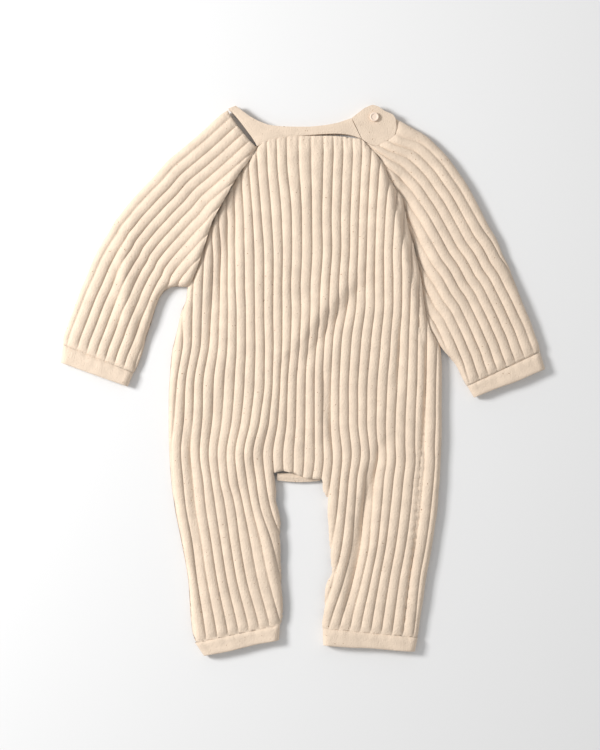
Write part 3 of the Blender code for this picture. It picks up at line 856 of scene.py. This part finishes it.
def build_sleeve(context, side, node):
    """One sleeve as a single ribbed tube, open at its head and its cuff seam."""
    knit = context.scene.romper_knit
    depth, pitch = knit.rib_depth / MM, knit.rib_pitch / MM
    sleeve = Sleeve(side, knit.layer_height / MM)
    step = knit.row_step / MM
    rows = int(sleeve.length / step)
    ts = np.linspace(0.0, sleeve.length, rows)
    widest = float(np.max(sleeve.widest(ts)))
    top = rib_places(0.0, widest / pitch + 2.5, knit.samples)
    under = rib_places(0.0, widest / pitch + 2.5, 6)
    numbers = np.concatenate([-under[:0:-1], top])
    number, t = np.meshgrid(numbers, ts)
    creep = RIB_CREEP[side] * eased((t / sleeve.length - 0.35) / 0.65)
    s = (number - creep) * pitch
    limit = sleeve.widest(t)
    s = np.clip(s, -limit, limit)
    point, left_over = sleeve.base(t, s)
    reach = 0.4
    ahead, _ = sleeve.base(t, np.minimum(s + reach, limit))
    back, _ = sleeve.base(t, np.maximum(s - reach, -limit))
    along, _ = sleeve.base(np.minimum(t + 0.6, sleeve.length), s)
    behind, _ = sleeve.base(np.maximum(t - 0.6, 0.0), s)
    normal = np.cross(along - behind, ahead - back)
    normal /= np.maximum(np.linalg.norm(normal, axis=-1, keepdims=True), 1e-9)
    flat_top = (s > sleeve.quarter) & (left_over > 8.0)
    if np.median(normal[flat_top][:, 2]) < 0:
        normal = -normal
        flipped = True
    else:
        flipped = False
    uneven = 1.0 + 0.16 * soft_noise(number * 9.3, t, 24.0, 14)
    fade = 0.35 + 0.65 * eased(left_over / 4.0)
    fade = np.minimum(fade, 0.1 + 0.9 * eased((sleeve.length - t) / 7.0))
    fade = np.minimum(fade, 0.25 + 0.75 * eased(t / 7.0))
    size = np.where(s >= 0, depth, UNDER_RIB)
    wave = rib_wave(np.abs(number), 1.0) * size * uneven * fade
    points = point + normal * wave[..., None]
    points[..., 2] = np.maximum(points[..., 2], LOWEST)
    raised = np.maximum(points[..., 2], TOP_LOWEST)
    points[..., 2] = np.where(s > sleeve.quarter, raised, points[..., 2])
    uvs = np.stack([number, t / pitch], -1).reshape(-1, 2)
    faces = grid_faces(*t.shape, flip=flipped)
    name = "romper_" + node
    item = mesh_object(name, points.reshape(-1, 3), faces, uvs, rib_material(context))
    add_lip(item, HEM_LIP, above=LIP_ABOVE)
    finish_piece(item, [node])
    return item


class RomperSleeves(bpy.types.Operator):
    """Build both raglan sleeves"""

    bl_idname = "romper.sleeves"
    bl_label = "Sleeves"

    def execute(self, context):
        build_sleeve(context, "right", "sleeve_right")
        build_sleeve(context, "left", "sleeve_left")
        return {"FINISHED"}


def tube_profile(width, high, low, count, roll):
    """Flattened closed loop: distance across and height, top first, then back."""
    turn = np.linspace(0.0, 1.0, count)
    share = 0.5 - 0.5 * np.cos(math.pi * turn)
    share = 0.55 * share + 0.45 * turn
    across = share * width
    lift = rounded(across, roll) * rounded(width - across, roll)
    top = SEAM_Z + (high - SEAM_Z) * lift
    under = SEAM_Z - (SEAM_Z - low) * lift
    loop = np.concatenate([across, across[-2:0:-1]])
    z = np.concatenate([top, under[-2:0:-1]])
    return loop, z


def build_cuff(context, node, seam_row, hem_row, wave_seed):
    """Plain-knit cuff: a flattened ring, turned in at its hem."""
    knit = context.scene.romper_knit
    pitch = knit.rib_pitch / MM
    seam_row, hem_row = np.array(seam_row, float), np.array(hem_row, float)
    shares = [0.0, 0.06, 0.16, 0.28, 0.40, 0.52, 0.64, 0.76]
    shares += [0.87, 0.94, 0.985, 1.0, 0.97, 0.85, 0.6]
    swell = [-0.9, -0.2, 0.5, 0.75, 0.8, 0.85, 0.95, 1.1]
    swell += [1.1, 0.9, 0.4, -0.6, -1.7, -2.2, -2.3]
    count = 90
    rows, marks = [], []
    for share, rise in zip(shares, swell):
        ends = seam_row + (hem_row - seam_row) * share
        start, end = ends[:2], ends[2:]
        span = end - start
        width = np.linalg.norm(span)
        direction = span / width
        tuck = max(0.0, -rise - 0.9) * 0.8
        start, end = start + direction * tuck, end - direction * tuck
        width -= 2 * tuck
        loop, z = tube_profile(width, 8.6 + rise, 0.6 - 0.4 * min(rise, 0.9), count, 6.5)
        if rise < -0.9:
            middle = SEAM_Z
            z = middle + (z - middle) * (1 + (rise + 0.9) * 0.22)
        place = start[None] + direction[None] * loop[:, None]
        number = (loop + share * 3.0) / pitch
        noise = soft_noise(place[:, 0], place[:, 1], 9.0, wave_seed)
        wobble = soft_noise(place[:, 0], place[:, 1], 22.0, wave_seed + 2)
        down = (hem_row[:2] + hem_row[2:] - seam_row[:2] - seam_row[2:]) / 2
        down = down / np.linalg.norm(down)
        place = place + down[None] * (0.7 * wobble * share)[:, None]
        z = z + np.where(z > SEAM_Z, 0.25 * noise + 0.5 * wobble, 0.0) * (rise > -1.0)
        ribs = (1 - share) ** 2 * 0.5 * np.abs(np.sin(math.pi * number))
        z = z + np.where(z > SEAM_Z + 1, ribs, 0.0)
        rows.append(np.concatenate([place, np.maximum(z, LOWEST)[:, None]], -1))
        sign = np.concatenate([np.ones(count), -np.ones(len(loop) - count)])
        marks.append(np.stack([sign * loop / pitch, np.full(len(loop), -share * 1.5)], -1))
    grid = np.stack(rows)
    faces = grid_faces(grid.shape[0], grid.shape[1], closed=True)
    name = "romper_" + node
    item = mesh_object(
        name, grid.reshape(-1, 3), faces, np.concatenate(marks), plain_material(context)
    )
    face_outwards(item)
    width = float(np.linalg.norm(seam_row[:2] - seam_row[2:])) * MM
    finish_piece(item, [node])
    return item


def face_outwards(item):
    """Recalculate a piece's normals, outwards."""
    build = bmesh.new()
    build.from_mesh(item.data)
    bmesh.ops.recalc_face_normals(build, faces=build.faces)
    build.to_mesh(item.data)
    build.free()


class RomperCuffs(bpy.types.Operator):
    """Build the four plain-knit cuffs"""

    bl_idname = "romper.cuffs"
    bl_label = "Cuffs"

    def execute(self, context):
        build_cuff(context, "cuff_sleeve_right", RIGHT_ARM[-1], RIGHT_HEM, 31)
        build_cuff(context, "cuff_sleeve_left", LEFT_ARM[-1], LEFT_HEM, 32)
        build_cuff(context, "cuff_leg_right", *LEG_CUFFS["right"], 33)
        build_cuff(context, "cuff_leg_left", *LEG_CUFFS["left"], 34)
        return {"FINISHED"}


# ---------------------------------------------------------------- small pieces


class RomperTrims(bpy.types.Operator):
    """Finish the neckband, gusset and button, which keep their plain solid shapes"""

    bl_idname = "romper.trims"
    bl_label = "Neckband, gusset and button"

    def execute(self, context):
        cloth = plain_material(context)
        for name in ("neckband_front", "neckband_side", "neckband_back", "crotch_gusset"):
            dress(name, cloth)
        dress("neck_button", button_material(context))
        return {"FINISHED"}


def dress(name, material):
    """Give a solid of the frame its material."""
    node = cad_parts[name]
    node.data.materials.clear()
    node.data.materials.append(material)


# ---------------------------------------------------------------- materials


def mix_colour(nodes, links, mask, low, high):
    """Mix of two colours or sockets by a mask; returns the result socket."""
    mix = nodes.new("ShaderNodeMix")
    mix.data_type = "RGBA"
    links.new(mask, mix.inputs[0])
    for socket, value in ((mix.inputs[6], low), (mix.inputs[7], high)):
        if isinstance(value, bpy.types.NodeSocket):
            links.new(value, socket)
        else:
            socket.default_value = (*value, 1.0)
    return mix.outputs[2]


def yarn_material(context, name, knit_scale):
    """Matt knitted cotton with fine stitches, soft tone changes and small flecks."""
    found = bpy.data.materials.get(name)
    if found:
        return found
    colours = context.scene.romper_colours
    material = bpy.data.materials.new(name)
    material.use_nodes = True
    nodes, links = material.node_tree.nodes, material.node_tree.links
    shader = nodes["Principled BSDF"]
    place = nodes.new("ShaderNodeTexCoord").outputs["Object"]

    def noise(scale, low, high):
        texture = nodes.new("ShaderNodeTexNoise")
        texture.inputs["Scale"].default_value = scale
        links.new(place, texture.inputs["Vector"])
        ramp = nodes.new("ShaderNodeMapRange")
        ramp.inputs["From Min"].default_value = low
        ramp.inputs["From Max"].default_value = high
        links.new(texture.outputs["Fac"], ramp.inputs["Value"])
        return ramp.outputs["Result"]

    yarn = Vector(colours.yarn)
    tone = mix_colour(nodes, links, noise(90.0, 0.3, 0.7), yarn * 0.93, yarn * 1.05)
    links.new(
        mix_colour(nodes, links, noise(520.0, 0.70, 0.76), tone, colours.fleck),
        shader.inputs["Base Color"],
    )
    shader.inputs["Roughness"].default_value = 0.95
    shader.inputs["Sheen Weight"].default_value = 0.25
    shader.inputs["Specular IOR Level"].default_value = 0.15
    bump = nodes.new("ShaderNodeBump")
    bump.inputs["Strength"].default_value = 0.45
    bump.inputs["Distance"].default_value = 0.0006
    links.new(noise(knit_scale, 0.3, 0.7), bump.inputs["Height"])
    links.new(bump.outputs["Normal"], shader.inputs["Normal"])
    return material


def rib_material(context):
    """Wide rib knit."""
    return yarn_material(context, "Rib knit", 620.0)


def plain_material(context):
    """Plain knit of the cuffs, neckband and gusset."""
    return yarn_material(context, "Plain knit", 800.0)


def button_material(context):
    """Smooth pale resin."""
    material = bpy.data.materials.new("Button")
    material.use_nodes = True
    shader = material.node_tree.nodes["Principled BSDF"]
    shader.inputs["Base Color"].default_value = (*context.scene.romper_colours.button, 1.0)
    shader.inputs["Roughness"].default_value = 0.35
    return material


# ---------------------------------------------------------------- stage


class RomperStageBuild(bpy.types.Operator):
    """Lay the floor and set the lights and the camera"""

    bl_idname = "romper.stage"
    bl_label = "Stage"

    def execute(self, context):
        scene, settings = context.scene, context.scene.romper_stage
        bpy.ops.mesh.primitive_plane_add(size=6.0, location=(0, 0, 0))
        floor = context.object
        floor.name = "floor"
        paper = bpy.data.materials.new("Floor")
        paper.use_nodes = True
        shader = paper.node_tree.nodes["Principled BSDF"]
        shader.inputs["Base Color"].default_value = (0.82, 0.82, 0.82, 1.0)
        shader.inputs["Roughness"].default_value = 0.9
        floor.data.materials.append(paper)

        lamp = bpy.data.lights.new("key", "AREA")
        lamp.energy, lamp.size = settings.key_power, 0.5
        key = bpy.data.objects.new("key", lamp)
        key.location = (-1.5, 0.5, 1.15)
        key.rotation_euler = (-key.location).to_track_quat("-Z", "Y").to_euler()
        scene.collection.objects.link(key)

        world = bpy.data.worlds.new("sky")
        world.use_nodes = True
        world.node_tree.nodes["Background"].inputs["Strength"].default_value = settings.sky
        world.node_tree.nodes["Background"].inputs["Color"].default_value = (1, 1, 1, 1)
        scene.world = world

        lens = bpy.data.cameras.new("camera")
        lens.lens = 85.0
        camera = bpy.data.objects.new("camera", lens)
        camera.location = (-0.0023, 0.0055, settings.camera_height)
        scene.collection.objects.link(camera)
        scene.camera = camera
        scene.view_settings.view_transform = "Standard"
        return {"FINISHED"}


class RomperPanel(bpy.types.Panel):
    """Sidebar panel that lists the romper's pieces"""

    bl_idname = "VIEW3D_PT_romper"
    bl_label = "Romper"
    bl_space_type = "VIEW_3D"
    bl_region_type = "UI"
    bl_category = "Romper"

    def draw(self, context):
        for operator in OPERATORS:
            self.layout.operator(operator.bl_idname)


OPERATORS = (RomperFront, RomperBack, RomperSleeves, RomperCuffs, RomperTrims, RomperStageBuild)
CLASSES = (RomperKnit, RomperColours, RomperStage) + OPERATORS + (RomperPanel,)


def register():
    """Register the classes and the settings."""
    for item in CLASSES:
        bpy.utils.register_class(item)
    bpy.types.Scene.romper_knit = bpy.props.PointerProperty(type=RomperKnit)
    bpy.types.Scene.romper_colours = bpy.props.PointerProperty(type=RomperColours)
    bpy.types.Scene.romper_stage = bpy.props.PointerProperty(type=RomperStage)


def unregister():
    """Remove the settings and the classes."""
    del bpy.types.Scene.romper_knit
    del bpy.types.Scene.romper_colours
    del bpy.types.Scene.romper_stage
    for item in reversed(CLASSES):
        bpy.utils.unregister_class(item)


def main():
    """Register the settings, then build every piece and the stage."""
    register()
    bpy.ops.romper.front()
    bpy.ops.romper.back()
    bpy.ops.romper.sleeves()
    bpy.ops.romper.cuffs()
    bpy.ops.romper.trims()
    bpy.ops.romper.stage()


if __name__ == "__main__":
    main()
